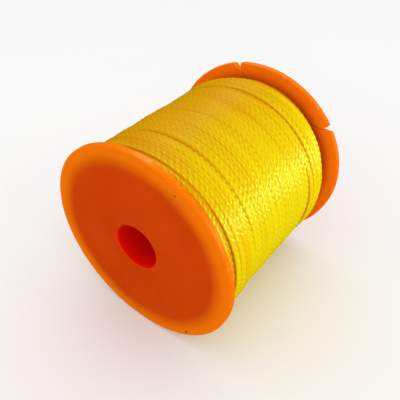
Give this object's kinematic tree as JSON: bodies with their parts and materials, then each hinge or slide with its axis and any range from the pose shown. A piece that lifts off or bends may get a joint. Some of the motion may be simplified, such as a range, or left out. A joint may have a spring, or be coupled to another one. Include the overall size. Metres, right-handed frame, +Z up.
{
  "type": "fishing line spool",
  "caption": "Two-flange moulded spool wound full of thick braided fishing line, with line notches in one flange and a through bore.",
  "frame": {"origin": "middle of the spool, on its bore axis", "axes": "+Y along the bore, from the plain front flange to the notched rear flange; +Z up, with the spool lying on its two rims"},
  "size_m": [0.07, 0.07, 0.07],
  "materials": {
    "flange_plastic": "translucent orange, glossy moulded polystyrene",
    "barrel_plastic": "orange extruded tube, satin",
    "braided_line": "yellow braided line with a slight sheen"
  },
  "bodies": {
    "root": {"front_flange": "flange_plastic", "rear_flange": "flange_plastic", "barrel": "barrel_plastic", "line_winding": "braided_line", "line_start_loop": "braided_line", "line_outer_end": "braided_line"}
  },
  "joints": []
}
